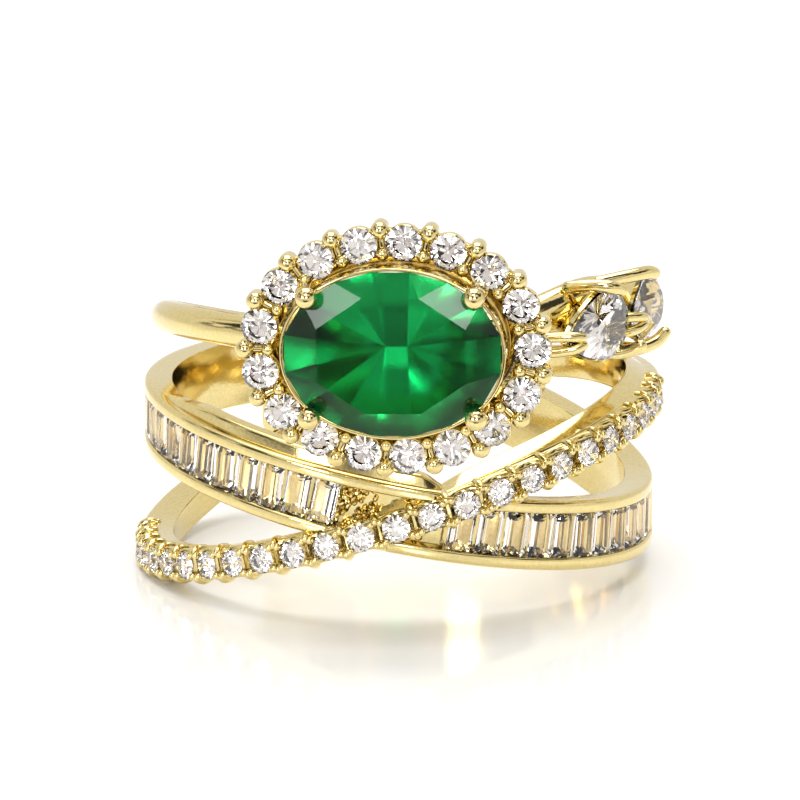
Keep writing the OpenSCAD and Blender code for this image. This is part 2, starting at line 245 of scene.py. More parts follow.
class Build:
    """Points and faces of several closed shells that end as one mesh."""

    def __init__(self):
        self.points, self.faces = [], []

    def shell(self, points, faces):
        start = len(self.points)
        self.points += points
        self.faces += [[start + i for i in f] for f in faces]

    def loft(self, rings, closed=False):
        """Joins rings with the same number of points into a skin, capped at its ends unless it closes."""
        n, k = len(rings[0]), len(rings)
        faces = []
        for a in range(k if closed else k - 1):
            b = (a + 1) % k
            for i in range(n):
                j = (i + 1) % n
                faces.append([a * n + i, a * n + j, b * n + j, b * n + i])
        if not closed:
            faces += [list(range(n))[::-1], list(range((k - 1) * n, k * n))]
        self.shell([p for ring in rings for p in ring], faces)

    def ball(self, centre, radius, stretch=(1, 1, 1), turns=14):
        """A round bead."""
        rings = []
        for a in range(1, turns // 2):
            lat = math.pi * a / (turns // 2)
            ring = []
            for i in range(turns):
                t = 2 * math.pi * i / turns
                unit = Vector((math.sin(lat) * math.cos(t), math.sin(lat) * math.sin(t), math.cos(lat)))
                ring.append(Vector(centre) + Vector(u * s * radius for u, s in zip(unit, stretch)))
            rings.append(ring)
        n, k = turns, len(rings)
        points = [p for ring in rings for p in ring]
        faces = [
            [a * n + i, (a + 1) * n + i, (a + 1) * n + (i + 1) % n, a * n + (i + 1) % n]
            for a in range(k - 1)
            for i in range(n)
        ]
        top, bottom = len(points), len(points) + 1
        pole = Vector((0, 0, radius * stretch[2]))
        points += [Vector(centre) + pole, Vector(centre) - pole]
        faces += [[top, i, (i + 1) % n] for i in range(n)]
        faces += [[bottom, (k - 1) * n + (i + 1) % n, (k - 1) * n + i] for i in range(n)]
        self.shell(points, faces)

    def wire(self, route, radii, sides=16, steps=6):
        """A round wire along a smooth curve through the points, with domed ends."""
        fine, wide = [], []
        for a in range(len(route) - 1):
            for s in range(steps):
                t = s / steps
                fine.append(catmull(route, a, t))
                wide.append(catmull([Vector((r, 0, 0)) for r in radii], a, t)[0])
        fine.append(Vector(route[-1]))
        wide.append(radii[-1])
        rings = []
        across = None
        for i, p in enumerate(fine):
            ahead = (fine[min(i + 1, len(fine) - 1)] - fine[max(i - 1, 0)]).normalized()
            if across is None:
                across = ahead.orthogonal().normalized()
            across = (across - ahead * across.dot(ahead)).normalized()
            other = ahead.cross(across)
            spokes = [
                across * math.cos(2 * math.pi * k / sides) + other * math.sin(2 * math.pi * k / sides)
                for k in range(sides)
            ]
            reach = ahead * wide[i]
            if i == 0:
                rings += [[p - reach * h + c * wide[i] * w for c in spokes] for w, h in DOME]
            rings.append([p + c * wide[i] for c in spokes])
            if i == len(fine) - 1:
                rings += [[p + reach * h + c * wide[i] * w for c in spokes] for w, h in DOME[::-1]]
        self.loft(rings)

    def mesh(self, name, material, **how):
        return make_mesh(name, self.points, self.faces, material, **how)


# A wire's domed end, from its tip back: shares of the wire's radius across and along
DOME = [(math.cos(a), math.sin(a)) for a in (1.4, 1.1, 0.75, 0.38)]


def catmull(route, a, t):
    """A point on the smooth curve through the route, t of the way from point a to the next."""
    last = len(route) - 1
    p0, p1, p2, p3 = (Vector(route[min(max(a + k, 0), last)]) for k in (-1, 0, 1, 2))
    square = 2 * p0 - 5 * p1 + 4 * p2 - p3
    cube = 3 * p1 - p0 - 3 * p2 + p3
    return 0.5 * (2 * p1 + (p2 - p0) * t + square * t**2 + cube * t**3)


def smooth_step(low, high, value):
    t = min(max((value - low) / (high - low), 0.0), 1.0)
    return t * t * (3 - 2 * t)


def rounded(corners, steps=3):
    """An outline with its corners rounded. Each corner is (out, up, radius)."""
    outline = []
    n = len(corners)
    for i, (x, y, radius) in enumerate(corners):
        here = Vector((x, y))
        to_last = Vector(corners[i - 1][:2]) - here
        to_next = Vector(corners[(i + 1) % n][:2]) - here
        r = min(radius, to_last.length * 0.48, to_next.length * 0.48)
        start, end = here + to_last.normalized() * r, here + to_next.normalized() * r
        for s in range(steps + 1):
            t = s / steps
            outline.append(start * (1 - t) ** 2 + here * 2 * t * (1 - t) + end * t**2)
    return outline


# ---- the bands ----
def sheet_height(angle, out, tilt, up):
    """Height of a tilted band's middle. It curves up towards the back of the finger."""
    a = math.radians(angle)
    behind = max(0.0, -math.cos(a))
    return up + out * math.sin(a) * math.tan(math.radians(tilt)) + BAND_RISE * behind**2


def pave_height(angle, out=PAVE_OUT):
    return sheet_height(angle, out, PAVE_TILT, 0.0)


def channel_height(angle, out=CHANNEL_OUT):
    return sheet_height(angle, out, CHANNEL_TILT, CHANNEL_UP)


def plain_height(angle, out=PLAIN_OUT):
    """The top row arches over the front, dips to the shank behind, and swells under the pear stones."""
    a = math.radians(angle)
    y = -math.cos(a)
    arch = 6.3 - 1.95 * y - 1.25 * y * y
    return arch + 0.41 * math.sin(a) + 0.45 * math.exp(-(((angle - 52) / 20) ** 2))


def on_band(angle, out, lift, height):
    """The point at a distance out from the finger's axis, and a lift across the band from its middle."""
    step = 0.5
    a = math.radians(angle)
    run = math.radians(2 * step) * out
    slope = math.atan2(height(angle + step) - height(angle - step), run)
    round_dir = Vector((math.cos(a), math.sin(a), 0))
    out_dir = Vector((math.sin(a), -math.cos(a), 0))
    up_dir = Vector((0, 0, 1)) * math.cos(slope) - round_dir * math.sin(slope)
    return out_dir * out + Vector((0, 0, height(angle))) + up_dir * lift


def band(section, height, angles, closed=False):
    """Sweeps a section, which may change with the angle, round the finger."""
    work = Build()
    rings = [[on_band(a, p[0], p[1], height) for p in section(a)] for a in angles]
    work.loft(rings, closed=closed)
    return work


def span(low, high, step):
    count = max(2, round((high - low) / step) + 1)
    return [low + (high - low) * i / (count - 1) for i in range(count)]


def near_stone(angle):
    """0 at the middle of the nearest stone of the round-stone band, 1 midway between two."""
    share = (angle - PAVE_FIRST) / PAVE_PITCH
    share = min(max(share, -0.5), PAVE_COUNT - 0.5)
    return abs(share - round(share)) * 2


def pave_section(angle):
    """A trench for the stones, and prong walls that dip beside each stone. It thins into the shank."""
    half = PAVE_WIDE / 2
    row = smooth_step(-97, -93, angle) * (1 - smooth_step(88, 93, angle))
    wall = near_stone(angle) ** 2
    out = PAVE_OUT - 0.34 * smooth_step(112, 148, abs(angle))
    top = out - row * 0.34 * (1 - wall)
    floor = out - 0.02 - row * (0.56 - 0.3 * wall)
    ledge = smooth_step(4, 26, angle) * (1 - smooth_step(100, 150, angle))
    return rounded(
        [
            (BORE, -half, 0.15),
            (top - 0.06, -half, 0.12),
            (top + 0.02, -half + 0.2, 0.08),
            (floor, -half + 0.26, 0.08),
            (floor, half - 0.26, 0.08),
            (top + 0.02, half - 0.2, 0.08),
            (top - 0.06, half, 0.12),
            (BORE + 0.8, half + 0.03 * ledge, 0.04),
            (BORE + 0.76, half + 0.1 * ledge, 0.1),
            (BORE + 0.1, half + 0.42 * ledge, 0.15),
            (BORE, half + 0.36 * ledge, 0.06),
        ]
    )


def channel_section(angle):
    """Two rails, a trench for the baguettes, and a liner above the upper rail. It thins into the shank."""
    half = CHANNEL_WIDE / 2
    out = CHANNEL_OUT - 0.1 * smooth_step(112, 148, abs(angle))
    end = BAGUETTE_FIRST + (BAGUETTE_COUNT - 0.4) * BAGUETTE_PITCH
    row = 1 - smooth_step(end, end + 2.5, abs(angle))
    floor = out - 0.02 - row * 0.7
    trench = BAGUETTE_TALL / 2 - 0.04
    ledge = smooth_step(-72, -50, angle) * (1 - smooth_step(4, 12, angle))
    return rounded(
        [
            (BORE, -half, 0.15),
            (out, -half, 0.2),
            (out, -trench, 0.12),
            (floor, -trench, 0.04),
            (floor, trench, 0.04),
            (out, trench, 0.12),
            (out, half, 0.18),
            (out - 0.38, half, 0.06),
            (out - 0.45, half - 0.25 * ledge, 0.04),
            (out - 0.55, half + 0.38 * ledge, 0.1),
            (BORE + 0.06, half + 0.44 * ledge, 0.15),
            (BORE, half + 0.4 * ledge, 0.06),
        ]
    )


def plain_section(angle):
    """A half-round wire, flat on the finger, wider on the shoulder under the pear stones."""
    half = (PLAIN_WIDE + 0.45 * math.exp(-(((angle - 50) / 16) ** 2))) / 2
    thick = PLAIN_OUT - BORE
    dome = [
        (BORE + 0.18 + (thick - 0.18) * math.cos(t), -half * math.sin(-t))
        for t in [math.radians(-90 + 180 * i / 16) for i in range(17)]
    ]
    return [Vector((BORE, -half + 0.1)), *[Vector(p) for p in dome], Vector((BORE, half - 0.1))]


def shank_section(angle):
    """A comfort-fit plate whose ends narrow, and sink between the bands that they meet."""
    away = abs(angle - 180)
    grow = smooth_step(0, 20, away)
    low, high = -0.5 + 0.1 * grow, 3.0 - 0.1 * grow
    out = BORE + 1.12 - 0.26 * smooth_step(25, 36, away)
    return rounded([(BORE, low, 0.25), (out, low, 0.35), (out, high, 0.35), (BORE, high, 0.25)], 5)


def make_bands():
    pave = band(pave_section, pave_height, span(-170, 170, 0.85))
    pave_beads(pave)
    pave_metal = pave.mesh("round_stone_band_metal", GOLD)
    keep("round_stone_band_metal", pave_metal, GOLD_SLOT, "round_stone_band")
    channel = band(channel_section, channel_height, span(-172, 172, 1.0))
    sink_crossing(channel)
    keep("channel_band_metal", channel.mesh("channel_band_metal", GOLD), GOLD_SLOT, "channel_band")
    plain = band(plain_section, plain_height, span(-180, 178, 2.0), closed=True)
    keep("plain_band_metal", plain.mesh("plain_band_metal", GOLD, sharp=60), GOLD_SLOT, "plain_band")
    shank = band(shank_section, lambda a: 0.0, span(144, 216, 1.5))
    keep("back_shank_metal", shank.mesh("back_shank_metal", GOLD), GOLD_SLOT, "back_shank")


def sink_crossing(work):
    """Lowers the channel band where the round-stone band rides over it, clear of its stones."""
    floor = PAVE_OUT - 0.6
    for p in work.points:
        out, angle = math.hypot(p.x, p.y), math.degrees(math.atan2(p.x, -p.y))
        if abs(angle) < 40 and out > floor:
            under = 1 - smooth_step(0.42, 0.55, abs(p.z - pave_height(angle)))
            share = (out + (floor - out) * under) / out
            p.x, p.y = p.x * share, p.y * share


def pave_beads(work):
    """In every gap, on each edge, a rounded finger up the band's side that ends in two split beads."""
    half = PAVE_WIDE / 2
    # The finger's route, as distances out and across, from its foot to its tip
    route = [(PAVE_OUT - 0.62, half - 0.02), (PAVE_OUT - 0.3, half - 0.01), (PAVE_OUT - 0.05, half - 0.13)]
    for i in range(PAVE_COUNT + 1):
        middle = PAVE_FIRST + (i - 0.5) * PAVE_PITCH
        for side in (-1, 1):
            finger = [on_band(middle, r, side * lift, pave_height) for r, lift in route]
            work.wire(finger, [0.14, 0.17, 0.17], 12, 3)
            for step in (-1, 1):
                where = on_band(middle + step * 0.95, PAVE_OUT + 0.02, side * (half - 0.2), pave_height)
                work.ball(where, 0.15, turns=10)


# ---- Geometry Nodes: one shape set at every place ----
def turned_to(out_dir, up_dir):
    """The turn that points a shape's +Z along out_dir and its +Y near up_dir."""
    z = Vector(out_dir).normalized()
    x = Vector(up_dir).cross(z).normalized()
    y = z.cross(x)
    return Matrix((x, y, z)).transposed().to_euler()


def setting_tree():
    """Sets the shape at every point, turned by the point's own attribute and a small random wobble."""
    tree = bpy.data.node_groups.new("set_shapes", "GeometryNodeTree")
    for name, kind in (
        ("Places", "NodeSocketGeometry"),
        ("Shape", "NodeSocketObject"),
        ("Size", "NodeSocketFloat"),
        ("Wobble", "NodeSocketFloat"),
        ("Seed", "NodeSocketInt"),
        ("Material", "NodeSocketMaterial"),
    ):
        tree.interface.new_socket(name, in_out="INPUT", socket_type=kind)
    tree.interface.new_socket("Set", in_out="OUTPUT", socket_type="NodeSocketGeometry")
    given = add(tree, "NodeGroupInput").outputs
    shape = add(tree, "GeometryNodeObjectInfo", {"Object": given["Shape"]})
    turn = add(tree, "GeometryNodeInputNamedAttribute", {"Name": "turn"}, data_type="FLOAT_VECTOR")
    as_turn = add(tree, "FunctionNodeEulerToRotation", {"Euler": turn.outputs["Attribute"]})
    less = add(tree, "ShaderNodeMath", {0: given["Wobble"], 1: -1.0}, operation="MULTIPLY")
    chance = add(
        tree,
        "FunctionNodeRandomValue",
        {"Min": less.outputs[0], "Max": given["Wobble"], "Seed": given["Seed"]},
        data_type="FLOAT_VECTOR",
    )
    wobble = add(tree, "FunctionNodeEulerToRotation", {"Euler": chance.outputs["Value"]})
    final = add(
        tree,
        "FunctionNodeRotateRotation",
        {"Rotation": as_turn.outputs["Rotation"], "Rotate By": wobble.outputs["Rotation"]},
        rotation_space="LOCAL",
    )
    placed = add(
        tree,
        "GeometryNodeInstanceOnPoints",
        {
            "Points": given["Places"],
            "Instance": shape.outputs["Geometry"],
            "Rotation": final.outputs["Rotation"],
            "Scale": given["Size"],
        },
    )
    solid = add(tree, "GeometryNodeRealizeInstances", {"Geometry": placed.outputs["Instances"]})
    dressed = add(
        tree,
        "GeometryNodeSetMaterial",
        {"Geometry": solid.outputs["Geometry"], "Material": given["Material"]},
    )
    add(tree, "NodeGroupOutput", {"Set": dressed.outputs["Geometry"]})
    return tree


SETTING_TREE = setting_tree()


def set_row(name, shape_mesh, places, size, material, slot, nodes=(), wobble=0.0, seed=1):
    """Sets a shape at each (point in mm, turn) and keeps the result as one piece."""
    mesh = bpy.data.meshes.new(name + "_places")
    mesh.from_pydata([Vector(p) * MM for p, turn in places], [], [])
    turns = mesh.attributes.new("turn", "FLOAT_VECTOR", "POINT")
    for i, (p, turn) in enumerate(places):
        turns.data[i].vector = turn
    row = bpy.data.objects.new(name + "_row", mesh)
    shape = bpy.data.objects.new(name + "_shape", shape_mesh)
    for o in (row, shape):
        bpy.context.scene.collection.objects.link(o)
    modifier = row.modifiers.new("set_shapes", "NODES")
    modifier.node_group = SETTING_TREE
    values = {"Shape": shape, "Size": size, "Wobble": wobble, "Seed": seed, "Material": material}
    for item in SETTING_TREE.interface.items_tree:
        if item.in_out == "INPUT" and item.name in values:
            modifier[item.identifier] = values[item.name]
    graph = bpy.context.evaluated_depsgraph_get()
    result = bpy.data.meshes.new_from_object(row.evaluated_get(graph), depsgraph=graph)
    result.name = name
    row.modifiers.remove(modifier)
    bpy.data.objects.remove(row)
    bpy.data.objects.remove(shape)
    if not result.materials:
        result.materials.append(material)
    return keep(name, result, slot, *nodes)


# ---- cut stones: +Z out of the table, the edge on z = 0, in units of the stone's own size ----
def cut_stone(name, outline, sides, crown, pavilion, table=0.56, keel=0.0, stepped=False):
    """Table, crown and pavilion facets as the hull of a few rings of corners. Stepped has a plain crown."""
    work = bmesh.new()

    def ring(count, shift, scale, z):
        for i in range(count):
            t = 2 * math.pi * (i + shift) / count
            x, y = outline(t)
            work.verts.new((x * scale, y * scale, z))

    if stepped:
        ring(sides * 2, 0.5, 1.012, 0.015)
        ring(sides * 2, 0.5, 1.012, -0.02)
        ring(sides, 0.5, table, crown)
        ring(sides, 0.0, 0.5, -pavilion * 0.506)
    else:
        ring(sides * 2, 0.0, 1.0, 0.012)
        ring(sides * 2, 0.0, 1.0, -0.012)
        ring(sides, 0.0, table, crown)
        ring(sides, 0.5, (table + 1) / 2 * 0.985, crown * 0.58)
        ring(sides, 0.5, 0.62, -pavilion * 0.4)
    for x in (-keel, keel):
        work.verts.new((x, 0, -pavilion))
    bmesh.ops.remove_doubles(work, verts=work.verts, dist=1e-5)
    hull = bmesh.ops.convex_hull(work, input=work.verts)
    bmesh.ops.delete(work, geom=[v for v in hull["geom_interior"] if isinstance(v, bmesh.types.BMVert)])
    bmesh.ops.dissolve_limit(work, angle_limit=math.radians(0.8), verts=work.verts, edges=work.edges)
    bmesh.ops.recalc_face_normals(work, faces=work.faces)
    mesh = bpy.data.meshes.new(name)
    work.to_mesh(mesh)
    work.free()
    return mesh


def circle(t):
    return math.cos(t), math.sin(t)


def scaled(mesh, x, y=None, z=None):
    """Sizes a stone in its mesh: x, y and z in millimetres to the edge, or depth."""
    y = x if y is None else y
    z = x if z is None else z
    mesh.transform(Matrix.Diagonal((x * MM, y * MM, z * MM, 1)))
    return mesh


ROUND_CUT = scaled(cut_stone("round_cut", circle, 8, 0.33, 0.86), 1.0)


# Steps of a baguette from its face down: shares of its half width and half height, and a level
BAGUETTE_STEPS = [
    (0.5, 0.74, 0.17),
    (0.78, 0.87, 0.12),
    (1.0, 1.0, 0.02),
    (1.0, 1.0, -0.04),
    (0.72, 0.84, -0.26),
    (0.14, 0.55, -0.42),
]


def baguette_cut():
    """A step cut, square to its rails, with its face cut back in two steps."""
    work = bmesh.new()
    for x, y, z in BAGUETTE_STEPS:
        for sx in (-1, 1):
            for sy in (-1, 1):
                corner = Vector((sx * x * BAGUETTE_WIDE / 2, sy * y * BAGUETTE_TALL / 2, z))
                work.verts.new(corner * MM)
    bmesh.ops.convex_hull(work, input=work.verts)
    bmesh.ops.dissolve_limit(work, angle_limit=math.radians(0.8), verts=work.verts, edges=work.edges)
    bmesh.ops.recalc_face_normals(work, faces=work.faces)
    mesh = bpy.data.meshes.new("baguette_cut")
    work.to_mesh(mesh)
    work.free()
    return mesh


def band_place(angle, out, height):
    """A place on a band, facing outward, with its +Y across the band."""
    here = on_band(angle, out, 0, height)
    across = on_band(angle, out, 1, height) - here
    a = math.radians(angle)
    return here, turned_to((math.sin(a), -math.cos(a), 0), across)


def make_grains():
    """Rough cast grains on the channel's bare floor, where a row of baguettes stops at the crossing."""
    bead = Build()
    bead.ball((0, 0, 0), 0.12, (1.2, 0.9, 0.8), turns=8)
    places = []
    for i in range(44):
        angle = -13.2 + (i * 0.618 % 1) * 9.0
        lift = (((i * 7) % 11) / 10 - 0.5) * 1.5
        here = on_band(angle, CHANNEL_OUT - 0.62 + 0.1 * (i % 3), lift, channel_height)
        a = math.radians(angle)
        places.append((here, turned_to((math.sin(a), -math.cos(a), 0), (0, 0, 1))))
    grain = bead.mesh("channel_grain", GOLD)
    set_row("channel_grains", grain, places, 1.0, GOLD, GOLD_SLOT, wobble=1.2, seed=4)


def make_band_stones():
    angles = [PAVE_FIRST + i * PAVE_PITCH for i in range(PAVE_COUNT)]
    places = [band_place(angle, PAVE_OUT - 0.03, pave_height) for angle in angles]
    names = ["round_band_stones"]
    set_row("round_band_stones_cut", ROUND_CUT, places, PAVE_STONE / 2, CLEAR, CLEAR_SLOT, names, 0.08, 3)
    names, places = [], []
    for side, word in ((-1, "left"), (1, "right")):
        for i in range(BAGUETTE_COUNT):
            angle = side * (BAGUETTE_FIRST + i * BAGUETTE_PITCH)
            places.append(band_place(angle, CHANNEL_OUT - 0.2, channel_height))
            names.append(f"baguette_{word}_{i + 1:02d}")
    set_row("baguettes_cut", baguette_cut(), places, 1.0, CRYSTAL, CLEAR_SLOT, names, 0.03, 5)


# ---- the head ----
HEAD = (
    Matrix.Translation(Vector((HEAD_X, -HEAD_OUT, HEAD_UP)))
    @ Matrix.Rotation(math.radians(HEAD_TURN), 4, "Z")
    @ Matrix.Rotation(math.radians(-HEAD_ROLL), 4, "Y")
    @ Matrix.Rotation(math.radians(90), 4, "X")
)


def head_point(x, y, out):
    """A point of the head, from the middle of the halo's face: right, up, and out towards the viewer."""
    return HEAD @ Vector((x, y, out))


# The oval is four arcs: two ends and two long sides
END_R = 1.125 * OVAL_TALL**2 / OVAL_LONG
END_X = OVAL_LONG - END_R
SIDE_DROP = (END_X**2 - (OVAL_TALL - END_R) ** 2) / (2 * (OVAL_TALL - END_R))
SIDE_R = OVAL_TALL + SIDE_DROP
END_TURN = math.atan2(SIDE_DROP, END_X)


def oval_point(share, out):
    """The point and the outward direction at a share of the way round, out beyond the stone's edge."""
    end_part = (END_R + out) * END_TURN
    quarter = end_part + (SIDE_R + out) * (math.pi / 2 - END_TURN)
    turn = (share % 1) * 4
    k = int(turn)
    s = (turn - k) * quarter
    if k % 2:
        s = quarter - s
    if s <= end_part:
        a = s / (END_R + out)
        x, y = END_X + (END_R + out) * math.cos(a), (END_R + out) * math.sin(a)
    else:
        a = END_TURN + (s - end_part) / (SIDE_R + out)
        x, y = (SIDE_R + out) * math.cos(a), (SIDE_R + out) * math.sin(a) - SIDE_DROP
    flip_x = -1 if k in (1, 2) else 1
    flip_y = -1 if k in (2, 3) else 1
    return Vector((x * flip_x, y * flip_y)), Vector((math.cos(a) * flip_x, math.sin(a) * flip_y))


def oval_loop(work, section, count=120):
    """Sweeps a section of (out, towards the viewer) round the oval."""
    rings = []
    for i in range(count):
        p, n = oval_point(i / count, 0)
        rings.append([head_point(*(p + n * s[0]), s[1]) for s in section])
    work.loft(rings, closed=True)


def head_place(share, out, depth):
    """A place on the head, facing the viewer, with its +Y outward from the oval."""
    p, n = oval_point(share, out)
    face = head_point(0, 0, 1) - head_point(0, 0, 0)
    outward = head_point(n[0], n[1], 0) - head_point(0, 0, 0)
    return head_point(p[0], p[1], depth), turned_to(face, outward)


def halo_out(share):
    """How far the halo's middle line is from the stone: a little less above and below than at its ends."""
    return HALO_GAP - 0.12 * oval_point(share, HALO_GAP)[1].y ** 2


def halo_place(share, beyond, depth):
    """A place on the halo, beyond its middle line."""
    return head_place(share, halo_out(share) + beyond, depth)


def halo_cup():
    """The seat under one halo stone: a low wall that only just reaches its edge."""
    work = Build()
    # Distance from the stone's axis, and level
    profile = [(0.32, -0.8), (0.6, -0.8), (0.68, -0.5), (0.7, -0.2)]
    profile += [(0.69, -0.12), (0.66, -0.1), (0.62, -0.14), (0.36, -0.45)]
    count = 28
    spokes = [circle(2 * math.pi * i / count) for i in range(count)]
    rings = [[(r * x, r * y, z) for r, z in profile] for x, y in spokes]
    work.loft(rings, closed=True)
    return work.mesh("halo_cup", GOLD)


def halo_prong(radius, lean):
    """A bead between two stones: a short post with a round head."""
    work = Build()
    route = [Vector((0, 0, -0.6)), Vector((0, lean, -0.25)), Vector((0, 0, 0.0))]
    work.wire(route, [radius * 0.9, radius * 0.9, radius], 14, 3)
    return work.mesh("halo_prong", GOLD)


def make_halo():
    rim = Build()
    count = 120
    rings = []
    bar = rounded([(-0.42, -0.95, 0.1), (0.42, -0.95, 0.1), (0.4, -0.62, 0.1), (-0.4, -0.62, 0.1)])
    for i in range(count):
        p, n = oval_point(i / count, halo_out(i / count))
        rings.append([head_point(*(p + n * x), z) for x, z in bar])
    rim.loft(rings, closed=True)
    gaps = [(i + 0.5) / HALO_COUNT for i in range(HALO_COUNT)]
    for share in gaps:
        p, n = oval_point(share, halo_out(share))
        route = [head_point(*(p + n * s), z) for s, z in ((-0.4, -0.26), (0.05, -0.26), (0.5, -0.28))]
        rim.wire(route, [0.2, 0.22, 0.22], 12, 3)
    keep("halo_rim", rim.mesh("halo_rim", GOLD), GOLD_SLOT, "halo_frame")
    stones = [halo_place(i / HALO_COUNT, 0, 0.04) for i in range(HALO_COUNT)]
    outer = [halo_place(share, 0.46, -0.08) for share in gaps]
    inner = [halo_place(share, -0.4, -0.06) for share in gaps]
    set_row("halo_cups", halo_cup(), stones, 1.0, GOLD, GOLD_SLOT)
    outer_bead, inner_bead = halo_prong(0.35, 0.03), halo_prong(0.26, 0.0)
    set_row("halo_outer_beads", outer_bead, outer, 1.0, GOLD, GOLD_SLOT, wobble=0.06, seed=7)
    set_row("halo_inner_beads", inner_bead, inner, 1.0, GOLD, GOLD_SLOT, wobble=0.06, seed=9)
    names = [f"halo_stone_{i + 1:02d}" for i in range(HALO_COUNT)]
    set_row("halo_stones_cut", ROUND_CUT, stones, HALO_STONE / 2, CLEAR, CLEAR_SLOT, names, 0.1, 11)


def make_gallery():
    """The rail behind the halo with its legs, and two saddles down to the plain band."""
    work = Build()
    inside, outside, back, front = -0.25, HALO_GAP + 0.05, -1.88, -1.47
    corners = [(inside, back), (outside, back), (outside, front), (inside, front)]
    oval_loop(work, rounded([(*corner, 0.15) for corner in corners]))
    for i in range(6):
        p, n = oval_point((i + 0.25) / 6, HALO_GAP - 0.15)
        work.wire([head_point(p[0], p[1], z) for z in (-0.85, -1.2, -1.6)], [0.22, 0.2, 0.24], 14, 3)
    for side in (-1, 1):
        x = side * OVAL_LONG * 0.86
        work.wire([head_point(x, -0.4, z) for z in (-1.7, -2.3, -3.2)], [0.5, 0.42, 0.5], 20, 4)
    keep("halo_gallery_metal", work.mesh("halo_gallery_metal", GOLD), GOLD_SLOT, "halo_gallery")


def make_basket():
    """A bright rim round the stone's edge, a foot on the gallery, and four claws with round tips."""
    work = Build()
    lip = OVAL_RAISE + 0.02
    wall = [(0.01, OVAL_RAISE - 0.25, 0.03), (0.02, lip, 0.03), (0.14, lip, 0.05)]
    wall += [(0.2, OVAL_RAISE - 0.4, 0.1), (0.1, -1.45, 0.1), (-0.28, -1.45, 0.1), (-0.24, -1.1, 0.1)]
    oval_loop(work, rounded(wall))
    for sx in (-1, 1):
        for sy in (-1, 1):
            x, y = sx * OVAL_LONG * 0.79, sy * OVAL_TALL * 0.74 - (0.14 if sy < 0 else 0.0)
            route = [
                head_point(x - sx * 0.12, y - sy * 0.1, -1.4),
                head_point(x + sx * 0.06, y + sy * 0.05, -0.5),
                head_point(x + sx * 0.04, y + sy * 0.03, OVAL_RAISE + 0.1),
                head_point(x - sx * 0.12, y - sy * 0.1, OVAL_RAISE + 0.5),
            ]
            work.wire(route, [0.28, 0.3, 0.32, 0.3], 18, 5)
            work.ball(head_point(x - sx * 0.1, y - sy * 0.08, OVAL_RAISE + 0.46), 0.42, turns=20)
    keep("oval_basket_metal", work.mesh("oval_basket_metal", GOLD, sharp=50), GOLD_SLOT, "oval_basket")


def oval_outline(t):
    """The stone's outline at an angle, one unit to each end and to each long side."""
    p = oval_point(t / (2 * math.pi), 0)[0]
    return p.x / OVAL_LONG, p.y / OVAL_TALL


def make_oval_stone():
    """The centre stone: a wide table, a low crown of big flat facets, and a deep pavilion."""
    cut = cut_stone("oval_cut", oval_outline, 8, 0.13, 0.965, table=0.75, keel=0.1, stepped=True)
    scaled(cut, OVAL_LONG, OVAL_TALL, 2.75)
    cut.transform(Matrix.Diagonal((1 / MM, 1 / MM, 1 / MM, 1)))
    cut.transform(HEAD @ Matrix.Translation(Vector((0, 0, OVAL_RAISE))))
    cut.transform(Matrix.Diagonal((MM, MM, MM, 1)))
    cut.materials.append(GREEN)
    keep("oval_stone_cut", cut, GREEN_SLOT, "oval_stone")


# ---- the pear stones ----
PEAR_LONG, PEAR_WIDE, PEAR_UP = 3.4, 2.6, 7.05
# Angle from the front, distance out, and turn of the point from the left
LOWER_PEAR = (50, PLAIN_OUT + 0.8, -8)
UPPER_PEAR = (72, PLAIN_OUT + 0.5, -6)


def pear_frame(place):
    """From a pear's own frame, point to -X and table to +Z, to the ring's."""
    angle, out, turn = place
    return (
        Matrix.Rotation(math.radians(angle), 4, "Z")
        @ Matrix.Translation(Vector((0, -out, PEAR_UP)))
        @ Matrix.Rotation(math.radians(turn), 4, "Y")
        @ Matrix.Rotation(math.radians(90), 4, "X")
    )


def pear_outline(t):
    """A pear, its round end's centre at the origin and its point at -X, in units of its half width."""
    reach = (PEAR_LONG - PEAR_WIDE / 2) / (PEAR_WIDE / 2)
    x, y = math.cos(t), math.sin(t)
    if x < 0:
        pull = (-x) ** 1.6
        x = -(-x) * (1 + (reach - 1) * pull)
        y *= 1 - 0.12 * pull
    return x, y


def around(angle, out, up):
    """A point by its angle from the front, distance from the finger's axis, and height."""
    a = math.radians(angle)
    return Vector((out * math.sin(a), -out * math.cos(a), up))


